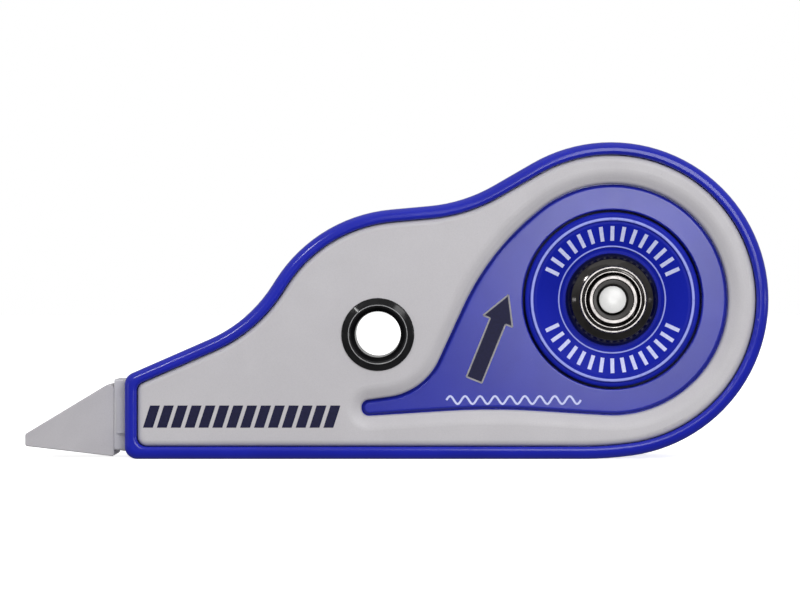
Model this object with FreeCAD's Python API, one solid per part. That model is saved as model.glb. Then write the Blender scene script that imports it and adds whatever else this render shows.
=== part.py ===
import FreeCAD, Part
import math
import os

# Correction tape roller: a hand-held dispenser that lays white correction film from a nose blade.
# Frame: +X runs from the nose to the round end, +Z is up, -Y is the front side with the reel knob.
# The origin is under the middle of the box that holds the whole roller, on the surface it stands on.
# All sizes are millimetres. An outline is a list of sides (x, z, heading in degrees, corner radius
# to the next side), walked counter-clockwise as seen from the front.

# ---- overall sizes
LENGTH = 94.3
END_RADIUS = 19.9               # round end of the casing
HALF_THICK = 7.2                # casing, from the parting plane to the top of the rim
TALL_AXIS = 20.15               # height of the supply reel's axis

# ---- casing
WALL = 1.5
FLOOR_INNER = 4.5               # inside face of each side wall, from the parting plane
FLOOR_OUTER = 5.4               # outside face, which the panel and the window sit on
CASE_LEFT = -34.23
CORNER = 1.6
RIM_WIDTH = 1.6
RIM_ROUND = 1.05                # outer round of the rim
RIM_BEAD = 0.45                 # inner round of the rim, beside the panel
SEAM = 0.15                     # chamfer of each half at the parting plane
LIP = 0.8                       # tongue of the rear half, into the front half
LIP_PLAY = 0.08
WELD = 0.2                      # ribs and bosses run this far into the wall that they grow from
PRESS = 0.02                    # radial play of parts pressed or glued into holes
RIB = 0.9                       # ring ribs round the two openings of the front half
FLANGE_PLAY = 0.15              # between those ribs and the reels' front flanges

# ---- panels and windows
PANEL_TOP = 7.0
PANEL_GAP = 0.05
PANEL_CORNER = 1.2
PANEL_EDGE = 0.8                # round along the rim
ROLL = (1.3, 0.7)               # width and depth of the slope down to the window
ROLL_TOP_ROUND = 2.2
ROLL_LOW_ROUND = 0.6
WINDOW_TOP = 5.95
WINDOW_RADIUS = 14.68
WINDOW_GAP = 0.12
WINDOW_SLOPE = (0.5, 0.3)       # width and depth of the sloping border
WINDOW_ROUND = 0.3
WINDOW_HOLE_ROUND = 0.2
KNOB_HOLE = 11.35

# ---- gears
MODULE = 0.8
SUPPLY_TEETH = 44
TAKEUP_TEETH = 31
PRESSURE_ANGLE = 20.0
BACKLASH = 0.16
GEAR_FACE = (3.1, 4.1)          # both gears lie between these distances behind the parting plane
GEAR_DISH = 0.35                # depth of the recess in each gear's rear face
SUPPLY_DISH_R = 15.2
TAKEUP_DISH_R = 10.6
SUPPLY_HOLES = (11.0, 6, 2.6)   # lightening holes: circle radius, count, hole radius
TAKEUP_HOLES = (8.2, 6, 1.5)
TIP_PLAY = 0.25                 # round the teeth, cut into the rear half's wall

# ---- axes of the two reels
END = (LENGTH / 2 - END_RADIUS, TALL_AXIS)      # centre of the casing's round end
HUB_X = 27.45
HUB = (HUB_X, TALL_AXIS)
AXIS_DROP = 4.4                 # the take-up axis is this much lower
AXIS_SPACING = MODULE * (SUPPLY_TEETH + TAKEUP_TEETH) / 2
TAKEUP = (HUB_X - math.sqrt(AXIS_SPACING ** 2 - AXIS_DROP ** 2), TALL_AXIS - AXIS_DROP)

# ---- reels
TAPE_HALF = 2.5                 # half the width of the 5 mm tape
FLANGE = (-3.3, -2.7)           # front flange of each reel
AXLE_R = 1.7
AXLE_BELOW = 1.0                # the pin's ends are this much lower than the hub caps
AXLE_DOME = 0.25
RUN = 0.08                      # radial running clearance on the axle
KNOB_R = 11.05
KNOB_FACE = -6.1                # its raised outer part; the dial slopes down towards the hub cap
KNOB_BACK = -5.2
DIAL_OUTER = 9.6
DIAL_INNER = 6.25
DIAL_LOW = -4.95                # face of the dial beside the hub cap
DIAL_BACK = -4.05
FINE_LINE = (6.6, 6.9)          # radii between which a fine raised line runs
SPIGOT_R = 5.0
SPIGOT_END = -1.2
SPIGOT_WALL = 1.1
BEARING_R = 2.9
CORE_R = 6.8
ROLL_R = 12.7
FLANGE_R = 14.0
CORE_HOLES = (9.3, 8, 1.1)
CORE_STEP = 0.6                 # ledge between each core's sleeve and its gear's recess
BOSS_R = 3.6
BOSS_END = -0.6
CLUTCH_SECTION = 0.64
CLUTCH_AT = 1.2
COLLAR_R = 3.0                  # collar of the supply axle, held in the rear window
COLLAR_PLAY = 0.05
WASHER_R = 3.4
END_PLAY = 0.03                 # between the gears and the washers behind them
EYELET_BORE = 2.9
EYELET_TUBE = 3.5
EYELET_FLANGE = 4.6
PROUD = 7.5                     # hub caps and eyelets stand out this far from the parting plane
FUNNEL = 1.3                    # depth over which the eyelet opens out of its bore
EYELET_JOINT = 6.0              # the tube ends and the rear ring starts here
TAKEUP_BORE = EYELET_TUBE + RUN
TAKEUP_CORE_R = 5.2
TAKEUP_ROLL_R = 6.6
TAKEUP_FLANGE_R = 9.5

# ---- nose: cap, applicator head, blade and tape
CAP_TIP = -LENGTH / 2
CAP_REAR = -35.8
CAP_HALF = 3.7
CAP_WALL = 0.65
CAP_LOW = 1.5                   # height of the underside at the tip
CAP_HIGH = 3.05
CAP_RISE = 31.1                 # slope of the upper edge
CAP_FALL = 6.6                  # slope of the lower edge
CHEEK_INSET = 0.8
CHEEK_FRONT = -43.3             # the blade and its tape stand out ahead of the cheeks
CHEEK = (2.65, 2.95)            # side guides of the head
COLLAR = (1.0, 10.0)            # low and high edge of the block between cap and casing
COLLAR_ROUND = 0.25
NECK_HALF = 3.0
NECK = (2.1, 9.0)
NECK_END = -29.0
CHANNEL = (2.45, 8.6)
LATCH_STEP = 0.45               # the latches stand out this far from the collar
LATCH_FRONT = -35.4
LATCH = (3.15, 7.5)
STOP = (-31.4, -30.6)           # ribs in the casing, behind the head's flange
STOP_TOP = 9.7
FLANGE_STEP = 0.4
HEAD_PLAY = 0.05
CAP_PLAY = 0.08
CAP_ROUND = 0.16
SHARP = 0.1                     # least corner radius of the thin nose parts
TIP = (-45.4, 2.45)             # centre of the blade's round edge
TIP_R = 0.25
TAPE_THICK = 0.12
TAPE_PLAY = 0.03
BLADE_REAR = -36.3
FEED_PIN = (-22.0, 4.6)
FEED_PIN_R = 1.0
RETURN_PIN = (-27.0, 5.4)
RETURN_PIN_R = 0.8

# ---- pegs that join the two halves
PEGS = [(9.5, 30.3), (9.0, 3.5), (-22.0, 12.1)]
PEG_R = 1.2
SOCKET_R = 1.9
PEG_END = 3.2                   # the peg reaches this far into the front half
PEG_SHOULDER = 0.6


def point(x, z, y=0.0):
    """A 3-D point from plan coordinates, y being the distance behind the parting plane."""
    return FreeCAD.Vector(x, y, z)


def touching(centre, radius, heading, corner=None):
    """The side that touches a circle walked counter-clockwise, at the given heading."""
    a = math.radians(heading)
    x = centre[0] + radius * math.sin(a)
    z = centre[1] - radius * math.cos(a)
    return (x, z, heading, radius if corner is None else corner)


def crossing(a, b):
    """Where two sides meet."""
    ax, az, bx, bz = a[0], a[1], b[0], b[1]
    ha, hb = math.radians(a[2]), math.radians(b[2])
    cross = math.cos(ha) * math.sin(hb) - math.sin(ha) * math.cos(hb)
    along = ((bx - ax) * math.sin(hb) - (bz - az) * math.cos(hb)) / cross
    return ax + along * math.cos(ha), az + along * math.sin(ha)


def outline(sides, inset=0.0, y=0.0, least=0.3):
    """Closed wire of straight sides and corner arcs, moved inwards by inset."""
    moved = []
    for x, z, heading, corner in sides:
        a = math.radians(heading)
        moved.append((x - inset * math.sin(a), z + inset * math.cos(a), heading, corner))
    arcs = []
    for side, following in zip(moved, moved[1:] + moved[:1]):
        turn = (following[2] - side[2] + 180) % 360 - 180
        radius = max(side[3] - inset if turn > 0 else side[3] + inset, least)
        reach = radius * math.tan(math.radians(abs(turn)) / 2)
        cx, cz = crossing(side, following)
        ha, hb = math.radians(side[2]), math.radians(following[2])
        start = (cx - reach * math.cos(ha), cz - reach * math.sin(ha))
        end = (cx + reach * math.cos(hb), cz + reach * math.sin(hb))
        left = 1 if turn > 0 else -1
        mx, mz = start[0] - left * radius * math.sin(ha), start[1] + left * radius * math.cos(ha)
        out = math.hypot(cx - mx, cz - mz)
        middle = (mx + (cx - mx) * radius / out, mz + (cz - mz) * radius / out)
        arcs.append((start, middle, end))
    edges = []
    for before, arc in zip(arcs[-1:] + arcs[:-1], arcs):
        if math.dist(before[2], arc[0]) > 1e-4:
            edges.append(Part.LineSegment(point(*before[2], y), point(*arc[0], y)).toShape())
            first = arc[0]
        else:
            first = before[2]
        edges.append(Part.Arc(point(*first, y), point(*arc[1], y), point(*arc[2], y)).toShape())
    return Part.Wire(edges)


def plate(wire, depth):
    """Solid from a wire in a plane of constant y, pushed along Y by depth."""
    return Part.Face(wire).extrude(point(0, 0, depth))


def slab(sides, y0, y1, inset=0.0, least=0.3):
    """Solid between two distances from the parting plane, from a list of sides."""
    return plate(outline(sides, inset, y0, least), y1 - y0)


def box(x0, x1, y0, y1, z0, z1):
    return Part.makeBox(x1 - x0, y1 - y0, z1 - z0, FreeCAD.Vector(x0, y0, z0))


def rod(centre, radius, y0, y1):
    return Part.makeCylinder(radius, y1 - y0, point(*centre, y0), FreeCAD.Vector(0, 1, 0))


def tube(centre, inner, outer, y0, y1):
    return rod(centre, outer, y0, y1).cut(rod(centre, inner, y0 - 1, y1 + 1))


def turned(centre, profile):
    """Solid of revolution about a reel axis. A profile step is (radius, y), or (radius, y, mid
    radius, mid y) where an arc through the middle point leads to it."""
    edges = []
    for before, step in zip(profile[-1:] + profile[:-1], profile):
        a, b = FreeCAD.Vector(before[0], before[1], 0), FreeCAD.Vector(step[0], step[1], 0)
        if len(step) == 4:
            edges.append(Part.Arc(a, FreeCAD.Vector(step[2], step[3], 0), b).toShape())
        else:
            edges.append(Part.LineSegment(a, b).toShape())
    face = Part.Face(Part.Wire(edges))
    solid = face.revolve(FreeCAD.Vector(0, 0, 0), FreeCAD.Vector(0, 1, 0), 360)
    solid.translate(point(*centre))
    return solid


def end_face(shape, y):
    """The largest flat face of a shape in the plane at y."""
    found = [f for f in shape.Faces if f.BoundBox.YLength < 1e-6 and abs(f.BoundBox.YMin - y) < 1e-6]
    return max(found, key=lambda f: f.Area)


def rim_of(shape, y, near=None):
    """Edges round the flat face at y: its outer edge, or the hole that passes closest to near."""
    face = end_face(shape, y)
    if near is None:
        return face.OuterWire.Edges
    holes = [w for w in face.Wires if not w.isSame(face.OuterWire)]
    spot = Part.Vertex(point(*near, y))
    return min(holes, key=lambda w: w.distToShape(spot)[0]).Edges


def soften(shape, y, radius, near=None):
    """Rounds the rim of the flat face at y."""
    return shape.makeFillet(radius, rim_of(shape, y, near))


def mirrored(shape):
    """The same shape on the other side of the parting plane."""
    return shape.mirror(FreeCAD.Vector(0, 0, 0), FreeCAD.Vector(0, 1, 0))


# ---- outlines

def casing_sides():
    return [
        (0, 0, 0, 46),
        touching(END, END_RADIUS, 7.7),
        touching(END, END_RADIUS, 90),
        touching(END, END_RADIUS, 180),
        touching(END, END_RADIUS, 210, 19.8),
        (1.887, 31.77, 185.2, 19.3),
        (-15.55, 22.0, 237.7, 17.9),
        (CASE_LEFT, 10.46, 203.6, CORNER),
        (CASE_LEFT, 5, 270, CORNER),
    ]


def window_sides():
    tail_end = 0.95
    return [
        (-4.29, 6.4, 270, tail_end),
        (-1.45, 5.56, 3.6, 95),
        touching(HUB, WINDOW_RADIUS, -3.6),
        touching(HUB, WINDOW_RADIUS, 90),
        touching(HUB, WINDOW_RADIUS, 180),
        touching(HUB, WINDOW_RADIUS, 220, 33.5),
        (7.78, 17.57, 245.4, 8.1),
        (-1.45, 7.78, 188, tail_end),
    ]


def nose_sides(rear):
    return [
        (CAP_TIP, CAP_LOW, -CAP_FALL, 0.3),
        (rear, 5, 90, 0.7),
        (CAP_TIP, CAP_HIGH, 180 + CAP_RISE, 0.3),
        (CAP_TIP, 2.5, 270, 0.3),
    ]


# ---- casing

def half_block():
    """Front half of the casing before its openings: outside rounded, pocket and cavity cut."""
    block = slab(casing_sides(), 0, -HALF_THICK)
    block = soften(block, -HALF_THICK, RIM_ROUND)
    parting = end_face(block, 0)
    block = block.makeChamfer(SEAM, parting.OuterWire.Edges)
    pocket = slab(casing_sides(), -FLOOR_OUTER, -HALF_THICK - 1, RIM_WIDTH, PANEL_CORNER)
    block = block.cut(pocket)
    cavity = slab(casing_sides(), 1, -FLOOR_INNER, WALL)
    block = block.cut(cavity)
    return soften(block, -HALF_THICK, RIM_BEAD, near=(0, RIM_WIDTH))


def gear_room(centre, teeth):
    """Room for a gear's teeth, which reach a little into the rear half's wall."""
    return rod(centre, MODULE * (teeth + 2) / 2 + TIP_PLAY, GEAR_FACE[0] - TIP_PLAY, FLOOR_INNER)


def nose_doorway():
    """Opening in the front wall for the head's neck."""
    half = NECK_HALF + HEAD_PLAY
    return box(CASE_LEFT - 1, CASE_LEFT + WALL + 0.3, -half, half, NECK[0] - HEAD_PLAY, NECK[1] + HEAD_PLAY)


def head_stop():
    """Rib inside the casing that holds the head's flange against the front wall."""
    return box(*STOP, -FLOOR_INNER - WELD, -NECK_HALF - 0.15, WALL - WELD, STOP_TOP)


def front_shell():
    shell = half_block()
    shell = shell.fuse([
        tube(HUB, KNOB_HOLE, KNOB_HOLE + RIB, -FLOOR_INNER - WELD, FLANGE[0] - FLANGE_PLAY),
        tube(TAKEUP, EYELET_TUBE + PRESS, EYELET_TUBE + RIB, -FLOOR_INNER - WELD, FLANGE[0] - FLANGE_PLAY),
        head_stop(),
    ] + [rod(peg, SOCKET_R, -FLOOR_INNER - WELD, -LIP - 0.2) for peg in PEGS])
    rebate = slab(casing_sides(), 1, -LIP - LIP_PLAY, WALL / 2 - LIP_PLAY)
    cuts = [
        rebate,
        nose_doorway(),
        rod(HUB, KNOB_HOLE, -HALF_THICK, -FLOOR_INNER + 0.5),
        rod(TAKEUP, EYELET_TUBE + PRESS, -HALF_THICK, 0),
    ] + [rod(peg, PEG_R + PRESS, -FLOOR_INNER, 1) for peg in PEGS]
    return shell.cut(cuts).removeSplitter()


def rear_shell():
    shell = mirrored(half_block())
    tongue = slab(casing_sides(), -LIP, 0.5, WALL / 2).cut(slab(casing_sides(), -LIP - 1, 1, WALL))
    boss_wall = FLOOR_INNER + WELD
    shell = shell.fuse([
        tongue,
        mirrored(head_stop()),
    ] + [rod(peg, PEG_R, -PEG_END, boss_wall) for peg in PEGS]
      + [rod(peg, SOCKET_R, PEG_SHOULDER, boss_wall) for peg in PEGS])
    cuts = [
        gear_room(HUB, SUPPLY_TEETH),
        gear_room(TAKEUP, TAKEUP_TEETH),
        nose_doorway(),
        rod(HUB, AXLE_R, 0, HALF_THICK),
        rod(TAKEUP, EYELET_TUBE + PRESS, 0, HALF_THICK),
    ]
    return shell.cut(cuts).removeSplitter()


# ---- panels and windows, as seen on the front; the rear ones are mirrored

def panel():
    blank = slab(casing_sides(), -FLOOR_OUTER, -PANEL_TOP, RIM_WIDTH + PANEL_GAP, PANEL_CORNER)
    blank = soften(blank, -PANEL_TOP, PANEL_EDGE)
    blank = blank.cut(slab(window_sides(), -FLOOR_OUTER + 1, -PANEL_TOP - 1))
    blank = blank.makeChamfer(*ROLL, rim_of(blank, -PANEL_TOP, HUB))
    blank = soften(blank, -PANEL_TOP, ROLL_TOP_ROUND, HUB)
    low = ROLL[1] - PANEL_TOP
    ledge = [e for e in blank.Edges if e.BoundBox.YLength < 1e-4 and abs(e.BoundBox.YMin - low) < 1e-3]
    blank = blank.makeFillet(ROLL_LOW_ROUND, ledge)
    return blank.cut(rod(TAKEUP, EYELET_TUBE + PRESS, -HALF_THICK, 0))


def window(hole):
    sheet = slab(window_sides(), -FLOOR_OUTER, -WINDOW_TOP, WINDOW_GAP)
    sheet = sheet.makeChamfer(*WINDOW_SLOPE, rim_of(sheet, -WINDOW_TOP))
    sheet = soften(sheet, -WINDOW_TOP, WINDOW_ROUND)
    sheet = sheet.cut(rod(HUB, hole, -HALF_THICK, 0))
    return soften(sheet, -WINDOW_TOP, WINDOW_HOLE_ROUND, HUB)


# ---- eyelet and supply axle

def eyelet_profile(side, inner_end):
    """Half section of an eyelet's flange: a round edge, a cone up to a fine ridge, then a funnel
    into the bore, which runs on to inner_end."""
    ridge, crown = EYELET_BORE + 0.8, 0.07
    edge = EYELET_FLANGE - 0.15
    return [
        (EYELET_TUBE, inner_end),
        (EYELET_TUBE, side * PANEL_TOP),
        (EYELET_FLANGE, side * PANEL_TOP),
        (EYELET_FLANGE, side * (PANEL_TOP + 0.05)),
        (edge, side * (PANEL_TOP + 0.22), EYELET_FLANGE - 0.04, side * (PANEL_TOP + 0.16)),
        (ridge + crown, side * (PROUD - 0.03)),
        (ridge - crown, side * (PROUD - 0.03), ridge, side * PROUD),
        (EYELET_BORE, side * (PROUD - FUNNEL), EYELET_BORE + 0.28, side * (PROUD - 0.52)),
        (EYELET_BORE, inner_end),
    ]


def eyelet_tube():
    """Front flange and the long tube that the take-up reel turns on."""
    return turned(TAKEUP, eyelet_profile(-1, EYELET_JOINT))


def eyelet_ring():
    return turned(TAKEUP, eyelet_profile(1, EYELET_JOINT))


def supply_axle():
    """Pin with a hidden collar at the rear wall and a low dome at each end."""
    end = PROUD - AXLE_BELOW
    shoulder = end - AXLE_DOME
    dome = (AXLE_R * 0.66, end - AXLE_DOME * 0.26)
    centre = AXLE_R * 0.15
    return turned(HUB, [
        (0, end),
        (centre, end),
        (AXLE_R, shoulder, *dome),
        (AXLE_R, WINDOW_TOP),
        (COLLAR_R, WINDOW_TOP),
        (COLLAR_R, FLOOR_OUTER),
        (AXLE_R, FLOOR_OUTER),
        (AXLE_R, -shoulder),
        (centre, -end, dome[0], -dome[1]),
        (0, -end),
    ])


def hub_rings(bore, back, side):
    """Turned chrome cap: a domed skirt, a narrow flat ring, a fine ring, a broad ring, and a cone
    that runs down to the pin. Heights are distances below the proudest ring."""
    def step(radius, below):
        return (radius, side * (PROUD - below))

    def arc(radius, below, mid_radius, mid_below):
        return (radius, side * (PROUD - below), mid_radius, side * (PROUD - mid_below))

    foot = PROUD - back
    dome_low, dome_high = foot - 0.08, 0.48
    return turned(HUB, [
        step(bore, foot),
        step(5.88, foot),
        step(5.88, dome_low),
        arc(4.26, dome_high, 5.32, dome_high + (dome_low - dome_high) * 0.38),
        step(4.13, 0.3),
        step(3.98, 0.3),
        step(3.85, 0.5),
        step(3.66, 0.44),
        step(3.56, 0.3),
        step(3.47, 0.3),
        step(3.34, 0.48),
        arc(3.06, 0.03, 3.16, 0.18),
        step(2.96, 0),
        step(2.64, 0),
        arc(2.48, 0.1, 2.54, 0.03),
        arc(bore, 1.5, 2.12, 0.85),
    ])


# ---- supply reel

def involute_gear(centre, teeth, y0, y1, turn):
    """Spur gear whose flanks are arcs through three points of the involute."""
    pitch = MODULE * teeth / 2
    base = pitch * math.cos(math.radians(PRESSURE_ANGLE))
    tip, root = pitch + MODULE, pitch - 1.25 * MODULE
    half_tooth = (math.pi * MODULE - BACKLASH) / 4 / pitch

    def roll(radius):
        swing = math.acos(min(1.0, base / radius))
        return math.tan(swing) - swing

    def place(radius, angle):
        return (centre[0] + radius * math.cos(angle), centre[1] + radius * math.sin(angle))

    def flank_angle(radius):
        return half_tooth + roll(pitch) - roll(max(radius, base))

    low = max(root, base)
    heights = [low, (low + tip) / 2, tip]
    edges = []
    for k in range(teeth):
        middle = math.radians(turn) + 2 * math.pi * k / teeth
        rising = [place(r, middle - flank_angle(r)) for r in heights]
        falling = [place(r, middle + flank_angle(r)) for r in reversed(heights)]
        foot = place(root, middle - flank_angle(low))
        last_foot = place(root, middle + flank_angle(low))
        following = place(root, middle + 2 * math.pi / teeth - flank_angle(low))
        valley = place(root, middle + math.pi / teeth)
        if math.dist(foot, rising[0]) > 1e-6:
            edges.append(Part.LineSegment(point(*foot), point(*rising[0])).toShape())
        edges.append(Part.Arc(*[point(*p) for p in rising]).toShape())
        crest = place(tip, middle)
        edges.append(Part.Arc(point(*rising[2]), point(*crest), point(*falling[0])).toShape())
        edges.append(Part.Arc(*[point(*p) for p in falling]).toShape())
        if math.dist(falling[2], last_foot) > 1e-6:
            edges.append(Part.LineSegment(point(*falling[2]), point(*last_foot)).toShape())
        edges.append(Part.Arc(point(*last_foot), point(*valley), point(*following)).toShape())
    blank = plate(Part.Wire(edges), y1 - y0)
    blank.translate(point(0, 0, y0))
    return blank


def ring_of_holes(centre, circle, count, radius, y0, y1):
    holes = []
    for k in range(count):
        a = 2 * math.pi * k / count
        spot = (centre[0] + circle * math.cos(a), centre[1] + circle * math.sin(a))
        holes.append(rod(spot, radius, y0, y1))
    return holes


def line_of_centres():
    """Direction from the supply axis to the take-up axis, in degrees."""
    return math.degrees(math.atan2(TAKEUP[1] - HUB[1], TAKEUP[0] - HUB[0]))


def supply_gear():
    y0, y1 = GEAR_FACE
    gear = involute_gear(HUB, SUPPLY_TEETH, y0, y1, line_of_centres())
    dish = tube(HUB, CORE_R + CORE_STEP, SUPPLY_DISH_R, y1 - GEAR_DISH, y1 + 1)
    gear = gear.fuse(rod(HUB, BOSS_R, BOSS_END, y0 + WELD))
    holes = ring_of_holes(HUB, *SUPPLY_HOLES, y0 - 1, y1 + 1)
    return gear.cut([dish, rod(HUB, AXLE_R + RUN, BOSS_END - 1, y1 + 1)] + holes).removeSplitter()


def clutch_ring():
    """Rubber ring between the gear's boss and the core: it slips when the tape runs tight."""
    centre_r = BOSS_R + CLUTCH_SECTION + 0.01
    return Part.makeTorus(centre_r, CLUTCH_SECTION, point(*HUB, CLUTCH_AT), FreeCAD.Vector(0, 1, 0))


def supply_core():
    sleeve = tube(HUB, SPIGOT_R, CORE_R, FLANGE[0], GEAR_FACE[0] - 0.2)
    flange = tube(HUB, SPIGOT_R, FLANGE_R, *FLANGE)
    holes = ring_of_holes(HUB, *CORE_HOLES, FLANGE[0] - 1, FLANGE[1] + 1)
    return sleeve.fuse(flange).cut(holes).removeSplitter()


def dial_height(radius):
    """Face of the dial's cone at a radius."""
    share = (radius - DIAL_INNER) / (DIAL_OUTER - DIAL_INNER)
    return DIAL_LOW + share * (KNOB_FACE - DIAL_LOW)


def reel_knob():
    """Dished dial that shows in the window: a bead near its edge, a fine line near the hub cap."""
    line_in, line_out = FINE_LINE
    line_top = dial_height((line_in + line_out) / 2) - 0.12
    face = turned(HUB, [
        (AXLE_R + RUN, DIAL_LOW),
        (AXLE_R + RUN, DIAL_BACK),
        (DIAL_INNER + 0.5, DIAL_BACK),
        (DIAL_OUTER + 0.2, KNOB_BACK),
        (KNOB_R, KNOB_BACK),
        (KNOB_R, KNOB_FACE + 0.4),
        (KNOB_R - 0.35, KNOB_FACE + 0.05, KNOB_R - 0.1, KNOB_FACE + 0.15),
        (10.5, KNOB_FACE + 0.05),
        (9.9, KNOB_FACE, 10.2, KNOB_FACE - 0.3),
        (DIAL_OUTER, KNOB_FACE),
        (line_out, dial_height(line_out)),
        (line_in, dial_height(line_in), (line_in + line_out) / 2, line_top),
        (DIAL_INNER, DIAL_LOW),
    ])
    spigot = tube(HUB, SPIGOT_R - SPIGOT_WALL, SPIGOT_R - PRESS / 2, DIAL_BACK - WELD, SPIGOT_END)
    bearing = tube(HUB, AXLE_R + RUN, BEARING_R, DIAL_BACK - WELD, SPIGOT_END)
    return face.fuse([spigot, bearing]).removeSplitter()


# ---- take-up reel

def takeup_gear():
    y0, y1 = GEAR_FACE
    facing = line_of_centres() + 180
    gap_turn = 180.0 / TAKEUP_TEETH
    gear = involute_gear(TAKEUP, TAKEUP_TEETH, y0, y1, facing + gap_turn)
    dish = tube(TAKEUP, TAKEUP_CORE_R + CORE_STEP, TAKEUP_DISH_R, y1 - GEAR_DISH, y1 + 1)
    holes = ring_of_holes(TAKEUP, *TAKEUP_HOLES, y0 - 1, y1 + 1)
    return gear.cut([dish, rod(TAKEUP, TAKEUP_BORE, y0 - 1, y1 + 1)] + holes)


def takeup_core():
    sleeve = tube(TAKEUP, TAKEUP_BORE, TAKEUP_CORE_R, FLANGE[0], GEAR_FACE[0])
    return sleeve.fuse(tube(TAKEUP, TAKEUP_BORE, TAKEUP_FLANGE_R, *FLANGE)).removeSplitter()


# ---- nose

def tip_cap():
    cap = slab(nose_sides(CAP_REAR), -CAP_HALF, CAP_HALF)
    side_edges = [e for e in cap.Edges if e.BoundBox.YLength < 1e-6]
    cap = cap.makeFillet(CAP_ROUND, side_edges)
    half = CHEEK[1] + CAP_PLAY
    hollow = slab(nose_sides(CAP_REAR + 3), -half, half, CAP_WALL)
    return cap.cut(hollow)


def applicator_head():
    """Collar, neck and inner flange in one, with two side cheeks that guide the tape."""
    collar = box(CAP_REAR + 0.02, CASE_LEFT, -CAP_HALF, CAP_HALF, *COLLAR)
    collar = collar.makeFillet(COLLAR_ROUND, [e for e in collar.Edges if e.BoundBox.XLength > 1])
    neck = box(CASE_LEFT - 0.3, NECK_END, -NECK_HALF, NECK_HALF, *NECK)
    wide = NECK_HALF + FLANGE_STEP
    tall = (NECK[0] - FLANGE_STEP, NECK[1] + FLANGE_STEP)
    flange = box(CASE_LEFT + WALL + 0.1, STOP[0] - 0.1, -wide, wide, *tall)
    cheeks = slab(nose_sides(CASE_LEFT + CHEEK_INSET - 0.1), -CHEEK[1], CHEEK[1], CHEEK_INSET, 0.15)
    ahead = box(CAP_TIP, CHEEK_FRONT, -CAP_HALF, CAP_HALF, 0, 12)
    out = CAP_HALF + LATCH_STEP
    latches = box(LATCH_FRONT, CASE_LEFT, -out, out, *LATCH)
    head = collar.fuse([neck, flange, cheeks.cut(ahead), latches])
    between_cheeks = box(CAP_TIP, CAP_REAR + 0.02, -CHEEK[0], CHEEK[0], 0, 12)
    channel = box(CAP_REAR - 2, NECK_END + 1, -CHEEK[0], CHEEK[0], *CHANNEL)
    return head.cut([between_cheeks, channel]).removeSplitter()


def strand_heading(tip_side, pin, pin_radius):
    """Heading from the blade's edge to a guide pin, for tape below (-1) or above (+1) the blade."""
    tape = TIP_R + TAPE_PLAY + TAPE_THICK / 2
    rest = pin_radius + TAPE_PLAY + TAPE_THICK / 2
    dx, dz = pin[0] - TIP[0], pin[1] - TIP[1]
    lean = math.asin(tip_side * (rest - tape) / math.hypot(dx, dz))
    return math.degrees(math.atan2(dz, dx) + lean)


FEED_HEADING = strand_heading(-1, FEED_PIN, FEED_PIN_R)
RETURN_HEADING = strand_heading(1, RETURN_PIN, RETURN_PIN_R)


def tip_blade():
    """Thin wedge between the cheeks; the tape turns round its edge."""
    feed = touching(TIP, TIP_R, FEED_HEADING, SHARP)
    back = touching(TIP, TIP_R, 180 + RETURN_HEADING)
    return slab([feed, (BLADE_REAR, 4, 90, SHARP), back], -CHEEK[0], CHEEK[0], 0, SHARP)


def beside(centre, radius, side, heading):
    """Point of a tape strand where it passes below (-1) or above (+1) a round thing."""
    a = math.radians(heading)
    reach = radius + TAPE_PLAY + TAPE_THICK / 2
    return (centre[0] - side * reach * math.sin(a), centre[1] + side * reach * math.cos(a))


def ribbon(points):
    """Flat tape along a chain of points, as thick as the tape and 5 mm wide."""
    half = TAPE_THICK / 2
    upper, lower = [], []
    for k, (x, z) in enumerate(points):
        before, after = points[max(k - 1, 0)], points[min(k + 1, len(points) - 1)]
        lean = math.atan2(after[1] - before[1], after[0] - before[0])
        upper.append(point(x - half * math.sin(lean), z + half * math.cos(lean), -TAPE_HALF))
        lower.append(point(x + half * math.sin(lean), z - half * math.cos(lean), -TAPE_HALF))
    ring = upper + lower[::-1] + upper[:1]
    return Part.Face(Part.makePolygon(ring)).extrude(point(0, 0, 2 * TAPE_HALF))


def roll_contact(centre, radius, pin_point):
    """Where a strand from pin_point meets the underside of a roll."""
    gap = radius + 0.12 + TAPE_THICK / 2
    dx, dz = centre[0] - pin_point[0], centre[1] - pin_point[1]
    heading = math.atan2(dz, dx) - math.asin(gap / math.hypot(dx, dz))
    return (centre[0] + gap * math.sin(heading), centre[1] - gap * math.cos(heading))


def correction_tape_run():
    """Fresh tape from the supply roll, under the feed pin, to the underside of the blade's edge."""
    start = beside(TIP, TIP_R, -1, FEED_HEADING)
    under_pin = beside(FEED_PIN, FEED_PIN_R, -1, FEED_HEADING)
    return ribbon([start, under_pin, roll_contact(HUB, ROLL_R, under_pin)])


def carrier_tape_run():
    """Spent carrier round the blade's edge, over the return pin, to the take-up roll."""
    inner, outer = TIP_R + TAPE_PLAY, TIP_R + TAPE_PLAY + TAPE_THICK
    low, high = math.radians(FEED_HEADING - 90), math.radians(RETURN_HEADING + 90)
    middle = math.pi + (low + high) / 2

    def spot(radius, angle):
        return point(TIP[0] + radius * math.cos(angle), TIP[1] + radius * math.sin(angle), -TAPE_HALF)

    bend = Part.Wire([
        Part.Arc(spot(outer, low), spot(outer, middle), spot(outer, high)).toShape(),
        Part.LineSegment(spot(outer, high), spot(inner, high)).toShape(),
        Part.Arc(spot(inner, high), spot(inner, middle), spot(inner, low)).toShape(),
        Part.LineSegment(spot(inner, low), spot(outer, low)).toShape(),
    ])
    start = beside(TIP, TIP_R, 1, RETURN_HEADING)
    over_pin = beside(RETURN_PIN, RETURN_PIN_R, 1, RETURN_HEADING)
    run = ribbon([start, over_pin, roll_contact(TAKEUP, TAKEUP_ROLL_R, over_pin)])
    return run.fuse(plate(bend, 2 * TAPE_HALF)).removeSplitter()


# ---- the assembly

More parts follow.
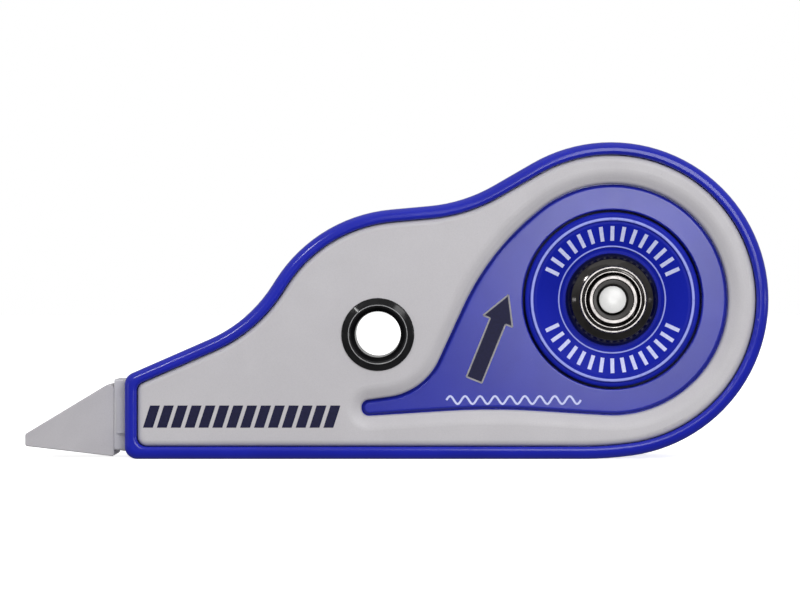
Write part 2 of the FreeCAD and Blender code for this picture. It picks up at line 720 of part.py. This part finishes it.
def build():
    behind_gear = GEAR_FACE[1] + END_PLAY
    wall_side = FLOOR_INNER - PRESS
    return {
        "front_shell": front_shell(),
        "rear_shell": rear_shell(),
        "front_panel": panel(),
        "rear_panel": mirrored(panel()),
        "front_window": window(KNOB_HOLE),
        "rear_window": mirrored(window(COLLAR_R + COLLAR_PLAY)),
        "eyelet_tube": eyelet_tube(),
        "eyelet_ring": eyelet_ring(),
        "supply_axle": supply_axle(),
        "rear_axle_cap": hub_rings(AXLE_R, WINDOW_TOP, 1),
        "feed_guide_pin": rod(FEED_PIN, FEED_PIN_R, -FLOOR_INNER, FLOOR_INNER),
        "return_guide_pin": rod(RETURN_PIN, RETURN_PIN_R, -FLOOR_INNER, FLOOR_INNER),
        "applicator_head": applicator_head(),
        "tip_blade": tip_blade(),
        "tip_cap": tip_cap(),
        "supply_gear": supply_gear(),
        "clutch_ring": clutch_ring(),
        "clutch_washer": tube(HUB, AXLE_R + RUN, BOSS_R - 0.2, SPIGOT_END + 0.05, BOSS_END),
        "supply_washer": tube(HUB, AXLE_R, WASHER_R, behind_gear, wall_side),
        "supply_core": supply_core(),
        "supply_roll": tube(HUB, CORE_R, ROLL_R, -TAPE_HALF, TAPE_HALF),
        "reel_knob": reel_knob(),
        "hub_cap": hub_rings(AXLE_R + RUN, -DIAL_LOW, -1),
        "takeup_gear": takeup_gear(),
        "takeup_core": takeup_core(),
        "takeup_roll": tube(TAKEUP, TAKEUP_CORE_R, TAKEUP_ROLL_R, -TAPE_HALF, TAPE_HALF),
        "takeup_washer": tube(TAKEUP, EYELET_TUBE, TAKEUP_CORE_R, behind_gear, wall_side),
        "correction_tape_run": correction_tape_run(),
        "carrier_tape_run": carrier_tape_run(),
    }


def main():
    os.makedirs("parts", exist_ok=True)
    for name, shape in build().items():
        shape.exportStep(os.path.join("parts", name + ".step"))
        box_ = shape.BoundBox
        print(f"{name:20s} solids {len(shape.Solids)} valid {shape.isValid()} "
              f"volume {shape.Volume:9.2f} x {box_.XMin:7.2f}..{box_.XMax:7.2f} "
              f"y {box_.YMin:6.2f}..{box_.YMax:6.2f} z {box_.ZMin:6.2f}..{box_.ZMax:6.2f}")


if __name__ == "__main__":
    main()
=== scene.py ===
import math
import bpy
import bmesh
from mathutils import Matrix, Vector


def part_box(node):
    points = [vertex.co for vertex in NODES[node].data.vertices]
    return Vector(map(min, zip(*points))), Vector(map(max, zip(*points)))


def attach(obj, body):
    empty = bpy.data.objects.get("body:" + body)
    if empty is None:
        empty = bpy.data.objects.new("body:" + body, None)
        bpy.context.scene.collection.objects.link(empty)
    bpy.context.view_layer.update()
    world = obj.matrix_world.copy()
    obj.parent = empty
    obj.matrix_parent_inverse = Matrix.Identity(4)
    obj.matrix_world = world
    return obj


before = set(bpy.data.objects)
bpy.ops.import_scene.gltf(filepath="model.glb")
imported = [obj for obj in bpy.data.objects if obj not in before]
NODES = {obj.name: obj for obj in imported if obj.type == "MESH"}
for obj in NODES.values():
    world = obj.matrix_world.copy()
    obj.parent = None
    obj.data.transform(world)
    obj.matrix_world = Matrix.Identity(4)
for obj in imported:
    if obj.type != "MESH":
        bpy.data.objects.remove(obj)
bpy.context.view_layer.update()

# Correction tape roller, standing on its flat bottom edge. +X runs from the nose to the round end,
# +Z is up and the front side with the reel knob looks to -Y. Lengths are metres; MM turns
# millimetres into metres.

MM = 0.001


# ---- places and radii, taken from the frame where it has them

def middle(node):
    low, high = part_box(node)
    return (low + high) / 2


HUB = middle("reel_knob")
EYELET = middle("eyelet_tube")
PANEL_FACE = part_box("front_panel")[0].y
WINDOW_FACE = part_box("front_window")[0].y
DIAL_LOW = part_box("hub_cap")[1].y          # the dial's face beside the hub cap
DIAL_HIGH = DIAL_LOW - 1.15 * MM           # and where its slope ends, further out
DIAL_INNER, DIAL_OUTER = 6.25 * MM, 9.6 * MM
CASE_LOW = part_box("front_shell")[0]

BEAD_R = 10.2 * MM             # raised bead and fine line on the dial
FINE_R = 6.75 * MM
EYELET_RIDGE = 3.7 * MM        # the eyelet's crown
SKIRT_R = 5.8 * MM             # foot of the hub cap's dome


# ---- node trees

class Look:
    """A material under construction: its node tree, its shader and its object coordinates."""

    def __init__(self, name, rough, metallic=0.0, specular=0.5):
        self.material = bpy.data.materials.new(name)
        self.material.use_nodes = True
        self.tree = self.material.node_tree
        self.shader = self.tree.nodes["Principled BSDF"]
        self.shader.inputs["Roughness"].default_value = rough
        self.shader.inputs["Metallic"].default_value = metallic
        self.shader.inputs["Specular IOR Level"].default_value = specular
        self.place = self.node("ShaderNodeTexCoord").outputs["Object"]

    def node(self, kind, **settings):
        made = self.tree.nodes.new(kind)
        for key, value in settings.items():
            setattr(made, key, value)
        return made

    def feed(self, socket, value):
        """Links an output to a socket, or sets a plain value on it."""
        if isinstance(value, bpy.types.NodeSocket):
            self.tree.links.new(value, socket)
        else:
            socket.default_value = value

    def maths(self, operation, a, b=0.0, clamp=False):
        made = self.node("ShaderNodeMath", operation=operation, use_clamp=clamp)
        self.feed(made.inputs[0], a)
        self.feed(made.inputs[1], b)
        return made.outputs[0]

    def remap(self, value, low, high, to_low=0.0, to_high=1.0):
        made = self.node("ShaderNodeMapRange", interpolation_type="SMOOTHSTEP")
        for socket, number in zip(list(made.inputs)[:5], (value, low, high, to_low, to_high)):
            self.feed(socket, number)
        return made.outputs[0]

    def blend(self, factor, a, b):
        """Mix of two colours."""
        made = self.node("ShaderNodeMix", data_type="RGBA")
        self.feed(made.inputs["Factor"], factor)
        for socket, value in ((made.inputs[6], a), (made.inputs[7], b)):
            self.feed(socket, (*value, 1.0) if isinstance(value, tuple) else value)
        return made.outputs[2]

    def stretched(self, scale):
        """Object coordinates scaled differently along each axis."""
        made = self.node("ShaderNodeMapping")
        self.feed(made.inputs["Vector"], self.place)
        made.inputs["Scale"].default_value = scale
        return made.outputs[0]

    def noise(self, grain, detail=3.0, rough=0.55, place=None, warp=0.0):
        """Noise whose patches are about grain metres across; a mapped place has its own scale."""
        made = self.node("ShaderNodeTexNoise")
        self.feed(made.inputs["Vector"], self.place if place is None else place)
        made.inputs["Scale"].default_value = 1.0 / grain
        made.inputs["Detail"].default_value = detail
        made.inputs["Roughness"].default_value = rough
        made.inputs["Distortion"].default_value = warp
        return made.outputs["Fac"]

    def specks(self, grain, size):
        """1 in sparse round spots that are size times the spacing across, 0 elsewhere."""
        made = self.node("ShaderNodeTexVoronoi")
        self.feed(made.inputs["Vector"], self.place)
        made.inputs["Scale"].default_value = 1.0 / grain
        return self.remap(made.outputs["Distance"], size, size * 0.5)

    def scratches(self, grain, turn, fewer=0.7):
        """Fine straight marks: noise drawn out along a direction in the plane of the side faces."""
        drawn_out = 33.0
        made = self.node("ShaderNodeMapping", vector_type="TEXTURE")
        self.feed(made.inputs["Vector"], self.place)
        made.inputs["Rotation"].default_value = (0, turn, 0)
        made.inputs["Scale"].default_value = (drawn_out, 1.0, 1.0)
        lines = self.noise(grain, 2.0, 0.5, made.outputs[0])
        patches = self.noise(grain * 60, 1.0)
        marks = self.remap(lines, fewer, fewer + 0.06)
        return self.maths("MULTIPLY", marks, self.remap(patches, 0.45, 0.6))

    def radius_from(self, centre):
        """Distance from an axis that runs along Y through centre."""
        made = self.node("ShaderNodeVectorMath", operation="SUBTRACT")
        self.feed(made.inputs[0], self.place)
        made.inputs[1].default_value = centre
        flat = self.node("ShaderNodeVectorMath", operation="MULTIPLY")
        self.feed(flat.inputs[0], made.outputs[0])
        flat.inputs[1].default_value = (1, 0, 1)
        length = self.node("ShaderNodeVectorMath", operation="LENGTH")
        self.feed(length.inputs[0], flat.outputs[0])
        return length.outputs["Value"]

    def band(self, value, centre, half, soft):
        """1 within half of centre, falling to 0 over soft."""
        away = self.maths("ABSOLUTE", self.maths("SUBTRACT", value, centre))
        return self.remap(away, half + soft, half)

    def worn_edges(self, reach, noise_grain=0.4 * MM):
        """1 on convex edges, broken up by noise."""
        bevel = self.node("ShaderNodeBevel", samples=4)
        bevel.inputs["Radius"].default_value = reach
        geometry = self.node("ShaderNodeNewGeometry")
        dot = self.node("ShaderNodeVectorMath", operation="DOT_PRODUCT")
        self.feed(dot.inputs[0], bevel.outputs[0])
        self.feed(dot.inputs[1], geometry.outputs["Normal"])
        edge = self.remap(dot.outputs["Value"], 0.995, 0.93)
        return self.maths("MULTIPLY", edge, self.remap(self.noise(noise_grain), 0.42, 0.62))

    def colour(self, value):
        self.feed(self.shader.inputs["Base Color"], value)

    def roughness(self, value):
        self.feed(self.shader.inputs["Roughness"], value)

    def relief(self, *layers):
        """Bump from (height, strength, distance) layers, the finest last."""
        normal = None
        for height, strength, distance in layers:
            made = self.node("ShaderNodeBump")
            made.inputs["Strength"].default_value = strength
            made.inputs["Distance"].default_value = distance
            self.feed(made.inputs["Height"], height)
            if normal is not None:
                self.feed(made.inputs["Normal"], normal)
            normal = made.outputs[0]
        self.feed(self.shader.inputs["Normal"], normal)


# ---- plastics of the outside

def gloss_blue(name, deep, light, rough, specular):
    """Moulded styrene: flow clouds, faint orange peel, hairline scratches and rubbed edges."""
    look = Look(name, rough, specular=specular)
    clouds = look.noise(9 * MM, 2.0, 0.5, warp=0.6)
    body = look.blend(look.remap(clouds, 0.3, 0.75), deep, light)
    pigment = look.noise(0.12 * MM, 2.0)
    body = look.blend(look.remap(pigment, 0.3, 0.9, 0.0, 0.12), body, tuple(1.6 * c + 0.004 for c in light))
    worn = look.worn_edges(0.18 * MM)
    body = look.blend(look.maths("MULTIPLY", worn, 0.25), body, tuple(1.3 * c + 0.03 for c in light))
    look.colour(body)
    hairs = look.maths("MAXIMUM", look.scratches(0.05 * MM, 0.5), look.scratches(0.06 * MM, -0.9))
    smears = look.remap(look.noise(5 * MM, 4.0, 0.6, warp=1.2), 0.35, 0.75, -0.01, 0.02)
    shine = look.maths("ADD", smears, rough)
    shine = look.maths("ADD", shine, look.maths("MULTIPLY", hairs, 0.06))
    look.roughness(look.maths("ADD", shine, look.maths("MULTIPLY", worn, 0.1), clamp=True))
    peel = look.noise(0.9 * MM, 2.0, 0.4)
    look.relief((peel, 0.03, 0.02 * MM), (hairs, -0.03, 0.004 * MM), (pigment, 0.05, 0.004 * MM))
    return look


def casing_blue():
    deep, light = (0.0045, 0.0105, 0.350), (0.0065, 0.0135, 0.400)
    return gloss_blue("casing_blue", deep, light, 0.17, 0.4).material


def window_blue():
    deep, light = (0.0100, 0.0170, 0.320), (0.0130, 0.0210, 0.370)
    return gloss_blue("window_blue", deep, light, 0.22, 0.5).material


def knob_blue():
    """The dial's own blue, with pale rings on its raised bead and its fine line: print and painted
    highlight.
    """
    deep, light = (0.0070, 0.0140, 0.320), (0.0090, 0.0170, 0.370)
    look = gloss_blue("knob_blue", deep, light, 0.3, 0.05)
    radius = look.radius_from(HUB)
    # pale rings on the bead crown and the fine line: printed colour that also paints the highlight of the
    # raised beads
    rings = look.band(radius, BEAD_R, 0.10 * MM, 0.12 * MM)
    rings = look.maths("MAXIMUM", rings, look.band(radius, FINE_R, 0.06 * MM, 0.05 * MM))
    # noise that fades the pale rings, print and painted highlight alike, in patches
    painted_highlight_strength = look.remap(look.noise(0.5 * MM, 3.0), 0.25, 0.5, 0.75, 1.0)
    body = look.shader.inputs["Base Color"].links[0].from_socket
    # pale lavender of the rings: print and painted highlight
    look.colour(look.blend(look.maths("MULTIPLY", rings, painted_highlight_strength), body, (0.34, 0.38, 0.84)))
    return look.material


def satin_grey(name, dark, pale, rough, specular=0.4):
    """Spark-eroded satin plastic: fine grain, faint clouds, tiny specks and handling marks."""
    look = Look(name, rough, specular=specular)
    clouds = look.noise(12 * MM, 3.0, 0.55, warp=0.8)
    body = look.blend(look.remap(clouds, 0.3, 0.72), dark, pale)
    grain = look.noise(0.16 * MM, 3.0, 0.6)
    body = look.blend(look.remap(grain, 0.35, 0.7, 0.0, 0.16), body, tuple(0.72 * c for c in dark))
    dust = look.specks(1.3 * MM, 0.05)
    body = look.blend(look.maths("MULTIPLY", dust, 0.35), body, tuple(0.55 * c for c in dark))
    worn = look.worn_edges(0.2 * MM)
    body = look.blend(look.maths("MULTIPLY", worn, 0.3), body, tuple(min(1.0, 1.12 * c) for c in pale))
    look.colour(body)
    smears = look.remap(look.noise(6 * MM, 4.0, 0.6, warp=1.5), 0.35, 0.7, -0.05, 0.07)
    shine = look.maths("ADD", smears, rough)
    hairs = look.scratches(0.07 * MM, 0.25)
    shine = look.maths("SUBTRACT", shine, look.maths("MULTIPLY", worn, 0.12))
    look.roughness(look.maths("SUBTRACT", shine, look.maths("MULTIPLY", hairs, 0.1), clamp=True))
    pits = look.noise(0.11 * MM, 2.0, 0.7)
    look.relief((pits, 0.22, 0.008 * MM), (hairs, -0.15, 0.005 * MM))
    return look.material


def panel_grey():
    return satin_grey("panel_grey", (0.515, 0.500, 0.524), (0.545, 0.530, 0.554), 0.46)


def cap_grey():
    return satin_grey("cap_grey", (0.465, 0.450, 0.477), (0.510, 0.495, 0.520), 0.5)


def head_grey():
    return satin_grey("head_grey", (0.540, 0.530, 0.560), (0.580, 0.570, 0.600), 0.45)


def eyelet_black():
    """Polished black plastic with lathe-fine hairlines round its axis, a little dust and a painted highlight
    ring on its crown.
    """
    look = Look("eyelet_black", 0.1, specular=0.25)
    radius = look.radius_from(EYELET)
    clouds = look.noise(2 * MM, 3.0)
    body = look.blend(look.remap(clouds, 0.3, 0.7), (0.005, 0.005, 0.006), (0.010, 0.010, 0.011))
    dust = look.specks(0.55 * MM, 0.06)
    worn = look.worn_edges(0.12 * MM)
    marks = look.maths("MAXIMUM", look.maths("MULTIPLY", dust, 0.2), look.maths("MULTIPLY", worn, 0.1))
    # painted highlight: a pale ring painted on the crown in place of the reflection that runs round it
    painted_highlight_strength = look.maths("MULTIPLY", look.band(radius, EYELET_RIDGE, 0.03 * MM, 0.04 * MM), 0.7)
    marks = look.maths("MAXIMUM", marks, painted_highlight_strength)
    # pale grey shared by the dust, the worn edges and the painted highlight ring
    look.colour(look.blend(marks, body, (0.42, 0.42, 0.43)))
    smears = look.remap(look.noise(1.6 * MM, 4.0, 0.6, warp=1.0), 0.4, 0.7, -0.03, 0.09)
    look.roughness(look.maths("ADD", smears, 0.09, clamp=True))
    tool_pitch = 0.07 * MM
    rings = look.maths("SINE", look.maths("MULTIPLY", radius, 2 * math.pi / tool_pitch))
    look.relief((look.noise(0.7 * MM, 2.0), 0.04, 0.02 * MM), (rings, 0.02, 0.0012 * MM))
    return look.material


# ---- metals

def hub_chrome():
    """Chrome over a turned face, its colour darkened as painted shade for the dark room it reflects: tool
    rings, haze, pinholes, rubbed crowns and a duller skirt."""
    look = Look("hub_chrome", 0.08, metallic=1.0)
    radius = look.radius_from(HUB)
    tint = look.noise(1.5 * MM, 3.0)
    # very dark metal colour: painted shade standing in for the dark surroundings seen in the plating
    body = look.blend(look.remap(tint, 0.3, 0.7), (0.052, 0.049, 0.048), (0.072, 0.068, 0.066))
    worn = look.worn_edges(0.10 * MM, 0.25 * MM)
    body = look.blend(look.maths("MULTIPLY", worn, 0.2), body, (0.30, 0.29, 0.27))
    pinholes = look.specks(0.4 * MM, 0.05)
    look.colour(look.blend(look.maths("MULTIPLY", pinholes, 0.6), body, (0.03, 0.03, 0.03)))
    haze = look.remap(look.noise(1.1 * MM, 4.0, 0.6, warp=1.5), 0.4, 0.75, 0.0, 0.1)
    skirt = look.maths("MULTIPLY", look.band(radius, SKIRT_R, 0.2 * MM, 0.5 * MM), 0.25)
    look.roughness(look.maths("ADD", look.maths("ADD", haze, skirt), 0.06, clamp=True))
    tool_pitch = 0.055 * MM
    wobble = look.maths("MULTIPLY", look.noise(0.9 * MM, 2.0), 0.05 * MM)
    turned = look.maths("MULTIPLY", look.maths("ADD", radius, wobble), 2 * math.pi / tool_pitch)
    look.relief((look.maths("SINE", turned), 0.035, 0.0012 * MM), (pinholes, -0.3, 0.004 * MM))
    return look.material


def pin_steel():
    """Ground steel: fine rings round the pin and a few darker streaks."""
    look = Look("pin_steel", 0.28, metallic=1.0)
    rings = look.noise(0.05 * MM, 2.0, 0.5, look.stretched((0.05, 1.0, 0.05)))
    streaks = look.noise(0.6 * MM, 3.0)
    look.colour(look.blend(look.remap(streaks, 0.3, 0.7), (0.46, 0.46, 0.47), (0.62, 0.62, 0.63)))
    look.roughness(look.remap(rings, 0.2, 0.8, 0.18, 0.38))
    look.relief((rings, 0.25, 0.003 * MM))
    return look.material


# ---- inner plastics, rubber, tape and paper

def plain_moulded(name, dark, pale, rough, grain=0.14 * MM, translucent=0.0):
    """Inner moulding: clouded colour, fine grain, tool swirls and rubbed edges."""
    look = Look(name, rough)
    clouds = look.noise(4 * MM, 3.0, 0.5, warp=0.7)
    body = look.blend(look.remap(clouds, 0.3, 0.7), dark, pale)
    worn = look.worn_edges(0.12 * MM)
    brighter = tuple(min(1.0, 1.25 * c + 0.02) for c in pale)
    look.colour(look.blend(look.maths("MULTIPLY", worn, 0.5), body, brighter))
    fine = look.noise(grain, 3.0, 0.6)
    look.roughness(look.remap(fine, 0.2, 0.8, rough - 0.08, rough + 0.1))
    look.relief((look.noise(1.0 * MM, 2.0), 0.08, 0.02 * MM), (fine, 0.15, 0.006 * MM))
    if translucent:
        look.shader.inputs["Subsurface Weight"].default_value = translucent
        look.shader.inputs["Subsurface Radius"].default_value = (0.6 * MM, 0.5 * MM, 0.4 * MM)
    return look.material


def gear_white():
    return plain_moulded("gear_white", (0.74, 0.73, 0.69), (0.84, 0.83, 0.80), 0.42, translucent=0.15)


def blade_white():
    return plain_moulded("blade_white", (0.78, 0.77, 0.73), (0.86, 0.86, 0.83), 0.35, translucent=0.1)


def axle_white():
    return plain_moulded("axle_white", (0.88, 0.88, 0.87), (0.96, 0.96, 0.95), 0.22, 0.2 * MM)


def core_grey():
    return plain_moulded("core_grey", (0.29, 0.29, 0.31), (0.37, 0.37, 0.38), 0.45)


def core_blue():
    return plain_moulded("core_blue", (0.006, 0.010, 0.110), (0.009, 0.014, 0.150), 0.5)


def clutch_rubber():
    return plain_moulded("clutch_rubber", (0.014, 0.014, 0.015), (0.030, 0.030, 0.031), 0.7, 0.08 * MM)


def washer_black():
    return plain_moulded("washer_black", (0.020, 0.020, 0.021), (0.040, 0.040, 0.041), 0.55)


def wound(name, face, edge, centre, pitch, rough):
    """A roll of thin tape: its sides show the turns, its faces the fibres of the web."""
    look = Look(name, rough, specular=0.3)
    radius = look.radius_from(centre)
    loose = look.maths("MULTIPLY", look.noise(3 * MM, 3.0), 0.5 * pitch)
    turns = look.maths("SINE", look.maths("MULTIPLY", look.maths("ADD", radius, loose), 2 * math.pi / pitch))
    fibres = look.noise(0.09 * MM, 4.0, 0.7, look.stretched((0.3, 1.0, 1.0)))
    body = look.blend(look.remap(turns, -1.0, 1.0, 0.0, 0.5), face, edge)
    look.colour(look.blend(look.remap(fibres, 0.45, 0.75, 0.0, 0.3), body, tuple(0.8 * c for c in edge)))
    look.roughness(look.remap(fibres, 0.2, 0.8, rough - 0.1, rough + 0.1))
    look.relief((turns, 0.2, 0.01 * MM), (fibres, 0.2, 0.006 * MM))
    return look.material


def tape_white():
    return wound("tape_white", (0.86, 0.86, 0.84), (0.66, 0.65, 0.61), HUB, 0.16 * MM, 0.55)


def carrier_paper():
    return wound("carrier_paper", (0.60, 0.53, 0.40), (0.42, 0.36, 0.26), EYELET, 0.12 * MM, 0.4)


# ---- inks of the printed marks

def ink(name, dense, thin, rough):
    """Pad-printed ink: slightly uneven film with pinholes."""
    look = Look(name, rough, specular=0.2)
    film = look.noise(0.35 * MM, 3.0)
    pinholes = look.specks(0.35 * MM, 0.08)
    body = look.blend(look.remap(film, 0.35, 0.75), dense, thin)
    look.colour(look.blend(look.maths("MULTIPLY", pinholes, 0.4), body, thin))
    look.roughness(look.remap(film, 0.2, 0.8, rough - 0.06, rough + 0.08))
    look.relief((film, 0.2, 0.004 * MM), (look.noise(0.07 * MM, 2.0), 0.2, 0.003 * MM))
    return look.material


def ink_navy():
    return ink("ink_navy", (0.0060, 0.0060, 0.0340), (0.0100, 0.0100, 0.0480), 0.5)


def ink_pale():
    return ink("ink_pale", (0.62, 0.65, 0.90), (0.50, 0.54, 0.86), 0.4)


def ink_grey():
    return ink("ink_grey", (0.34, 0.33, 0.34), (0.24, 0.23, 0.27), 0.45)


def paint(material, *names):
    for name in names:
        slots = NODES[name].data.materials
        slots.clear()
        slots.append(material)


def paint_nodes():
    paint(casing_blue(), "front_shell", "rear_shell")
    paint(window_blue(), "front_window", "rear_window")
    paint(knob_blue(), "reel_knob")
    paint(panel_grey(), "front_panel", "rear_panel")
    paint(cap_grey(), "tip_cap")
    paint(head_grey(), "applicator_head")
    paint(eyelet_black(), "eyelet_tube", "eyelet_ring")
    paint(hub_chrome(), "hub_cap", "rear_axle_cap")
    paint(axle_white(), "supply_axle")
    paint(pin_steel(), "feed_guide_pin", "return_guide_pin")
    paint(gear_white(), "supply_gear", "takeup_gear")
    paint(blade_white(), "tip_blade")
    paint(clutch_rubber(), "clutch_ring")
    paint(washer_black(), "clutch_washer", "supply_washer", "takeup_washer")
    paint(core_blue(), "supply_core")
    paint(core_grey(), "takeup_core")
    paint(tape_white(), "supply_roll", "correction_tape_run")
    paint(carrier_paper(), "takeup_roll", "carrier_tape_run")


# ---- printed marks: thin films of ink, sunk a little into the face that they lie on

INK_SUNK = 0.02 * MM
INK_PROUD = 0.015 * MM


def film(name, outlines, face, material, body):
    """Ink film from closed outlines of (x, z) points, on a front face whose y is face(x, z)."""
    mesh = bmesh.new()
    for outline in outlines:
        front = [mesh.verts.new((x, face(x, z) - INK_PROUD, z)) for x, z in outline]
        back = [mesh.verts.new((x, face(x, z) + INK_SUNK, z)) for x, z in outline]
        mesh.faces.new(front)
        mesh.faces.new(back[::-1])
        count = len(outline)
        for k in range(count):
            after = (k + 1) % count
            mesh.faces.new((front[after], front[k], back[k], back[after]))
    bmesh.ops.recalc_face_normals(mesh, faces=mesh.faces)
    data = bpy.data.meshes.new(name)
    mesh.to_mesh(data)
    mesh.free()
    data.materials.append(material)
    piece = bpy.data.objects.new(name, data)
    bpy.context.scene.collection.objects.link(piece)
    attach(piece, body)


def stroke(points, width):
    """Outline of a line of even width along points."""
    left, right = [], []
    last = len(points) - 1
    for k, (x, z) in enumerate(points):
        before, after = points[max(k - 1, 0)], points[min(k + 1, last)]
        run = Vector((after[0] - before[0], after[1] - before[1])).normalized() * width / 2
        left.append((x - run.y, z + run.x))
        right.append((x + run.y, z - run.x))
    return left + right[::-1]


def slanted_bars():
    """Row of slanted navy bars low on the front panel, between the nose and the window."""
    start = CASE_LOW.x + 2.4 * MM
    low, high = 4.0 * MM, 6.8 * MM
    width, gap, slant = 1.25 * MM, 0.5 * MM, 0.9 * MM
    count = 14
    bars = []
    for k in range(count):
        x = start + k * (width + gap)
        bars.append([(x, low), (x + width, low), (x + width + slant, high), (x + slant, high)])
    film("mark_bars", bars, lambda x, z: PANEL_FACE, ink_navy(), "casing")


def dial_face(x, z):
    """y of the dial's sloping face."""
    radius = math.hypot(x - HUB.x, z - HUB.z)
    share = (radius - DIAL_INNER) / (DIAL_OUTER - DIAL_INNER)
    return DIAL_LOW + share * (DIAL_HIGH - DIAL_LOW)


def dial_ticks():
    """Two arcs of ticks round the knob, above and below the hub."""
    inner, outer = 7.45 * MM, 9.3 * MM
    half = 0.24 * MM
    count, first, spread = 15, 25, 130
    ticks = []
    for start in (first, first + 180):
        for k in range(count):
            angle = math.radians(start + spread * k / (count - 1))
            along = Vector((math.cos(angle), math.sin(angle)))
            across = Vector((-along.y, along.x)) * half
            centre = Vector((HUB.x, HUB.z))
            corners = [centre + along * inner - across, centre + along * outer - across,
                       centre + along * outer + across, centre + along * inner + across]
            ticks.append([tuple(corner) for corner in corners])
    film("mark_ticks", ticks, dial_face, ink_pale(), "supply_reel")


def feed_arrow():
    """Dark arrow with a pale outline on the window, pointing up and to the right."""
    foot = Vector((HUB.x - 17.5 * MM, 10.0 * MM))
    lean = math.radians(68)
    along = Vector((math.cos(lean), math.sin(lean)))
    across = Vector((-along.y, along.x))
    length, neck = 11.6 * MM, 8.0 * MM
    shaft, head = 1.05 * MM, 2.0 * MM           # half widths
    line, under = 0.2 * MM, 0.005 * MM          # outline's width; the body lies this much below it
    lower = [(0, -shaft), (neck, -shaft), (neck, -head)]
    upper = [(a, -b) for a, b in reversed(lower)]
    points = [tuple(foot + along * a + across * b) for a, b in lower + [(length, 0)] + upper]
    film("mark_arrow_body", [points], lambda x, z: WINDOW_FACE + under, ink_navy(), "casing")
    lines = [stroke([a, b], line) for a, b in zip(points, points[1:] + points[:1])]
    film("mark_arrow_edge", lines, lambda x, z: WINDOW_FACE, ink_grey(), "casing")


def wave_line():
    """Thin wavy line low on the window."""
    start, length, waves = HUB.x - 21.0 * MM, 17.0 * MM, 9
    height, amplitude, width = 7.45 * MM, 0.5 * MM, 0.26 * MM
    steps = 12                                  # points per wave
    points = []
    for k in range(waves * steps + 1):
        share = k / (waves * steps)
        swing = math.sin(2 * math.pi * waves * share)
        points.append((start + length * share, height + amplitude * swing))
    film("mark_wave", [stroke(points, width)], lambda x, z: WINDOW_FACE, ink_pale(), "casing")


# ---- stage, light and camera

def floor_material():
    """White acrylic light table: pale, and evenly bright as far as its edge."""
    look = Look("stage_floor", 0.7, specular=0.1)
    paper = look.noise(1.5 * MM, 4.0)
    look.colour(look.blend(look.remap(paper, 0.3, 0.7), (0.88, 0.88, 0.88), (0.90, 0.90, 0.90)))
    glow = 0.8
    look.shader.inputs["Emission Color"].default_value = (1, 1, 1, 1)
    look.shader.inputs["Emission Strength"].default_value = glow
    return look.material


def floor():
    """Square floor, hidden from bounced light and reflections so that the underside stays dark."""
    half = 3.0
    corners = [(-half, -half, 0), (half, -half, 0), (half, half, 0), (-half, half, 0)]
    data = bpy.data.meshes.new("stage_floor")
    data.from_pydata(corners, [], [(0, 1, 2, 3)])
    data.materials.append(floor_material())
    obj = bpy.data.objects.new("stage_floor", data)
    bpy.context.scene.collection.objects.link(obj)
    obj.visible_diffuse = False
    obj.visible_glossy = False


def softbox(name, at, size, power, target, size_y=None):
    """Rectangular light at a place, turned towards target; square unless size_y is given."""
    light = bpy.data.lights.new(name, "AREA")
    light.shape = "RECTANGLE"
    light.size = size
    light.size_y = size if size_y is None else size_y
    light.energy = power
    obj = bpy.data.objects.new(name, light)
    bpy.context.scene.collection.objects.link(obj)
    obj.location = at
    obj.rotation_euler = (Vector(target) - Vector(at)).to_track_quat("-Z", "Y").to_euler()


def studio_air():
    """Soft ambient light, stronger from above, and plain white behind everything in view."""
    from_below, from_above = 0.26, 0.62
    heights = (-0.25, 0.5)                      # the strength rises between these slopes of the ray
    world = bpy.data.worlds.new("studio")
    bpy.context.scene.world = world
    world.use_nodes = True
    tree = world.node_tree
    ambient = tree.nodes["Background"]
    ambient.inputs["Color"].default_value = (1, 1, 1, 1)
    direction = tree.nodes.new("ShaderNodeSeparateXYZ")
    tree.links.new(tree.nodes.new("ShaderNodeTexCoord").outputs["Generated"], direction.inputs[0])
    height = tree.nodes.new("ShaderNodeMapRange")
    for socket, number in zip(list(height.inputs)[1:5], (*heights, from_below, from_above)):
        socket.default_value = number
    tree.links.new(direction.outputs["Z"], height.inputs["Value"])
    tree.links.new(height.outputs[0], ambient.inputs["Strength"])
    backdrop = tree.nodes.new("ShaderNodeBackground")
    backdrop.inputs["Color"].default_value = (1, 1, 1, 1)
    backdrop.inputs["Strength"].default_value = 1.0
    path = tree.nodes.new("ShaderNodeLightPath")
    either = tree.nodes.new("ShaderNodeMixShader")
    tree.links.new(path.outputs["Is Camera Ray"], either.inputs[0])
    tree.links.new(ambient.outputs[0], either.inputs[1])
    tree.links.new(backdrop.outputs[0], either.inputs[2])
    tree.links.new(either.outputs[0], tree.nodes["World Output"].inputs["Surface"])


def lights():
    """A large key from the upper right; the small lights make the glints on the rim and the hub."""
    softbox("overhead", (-0.05, -0.12, 0.85), 0.8, 0.6, target=(0, 0, 0.02))
    softbox("key", (0.12, -0.38, 0.15), 0.22, 0.85, target=HUB)
    softbox("front", (0.063, -0.46, 0.021), 0.04, 0.075, target=HUB)
    softbox("upper_left", (-0.13, -0.20, 0.16), 0.03, 0.08, target=HUB)
    away = 0.28
    softbox("left_strip", (HUB.x - away, -0.10, HUB.z), 0.12, 0.03, target=HUB, size_y=0.02)
    softbox("right_strip", (HUB.x + away, -0.10, HUB.z), 0.12, 0.03, target=HUB, size_y=0.02)


def camera():
    """Square to the front side, about level with the hub."""
    data = bpy.data.cameras.new("camera")
    data.lens = 121.9
    data.sensor_width = 36
    data.clip_start = 0.01
    obj = bpy.data.objects.new("camera", data)
    bpy.context.scene.collection.objects.link(obj)
    obj.location = (0.58 * MM, -348.5 * MM, 20.1 * MM)
    obj.rotation_euler = (math.pi / 2, 0, 0)
    bpy.context.scene.camera = obj


paint_nodes()
slanted_bars()
dial_ticks()
feed_arrow()
wave_line()
floor()
studio_air()
lights()
camera()
bpy.context.scene.view_settings.view_transform = "Standard"
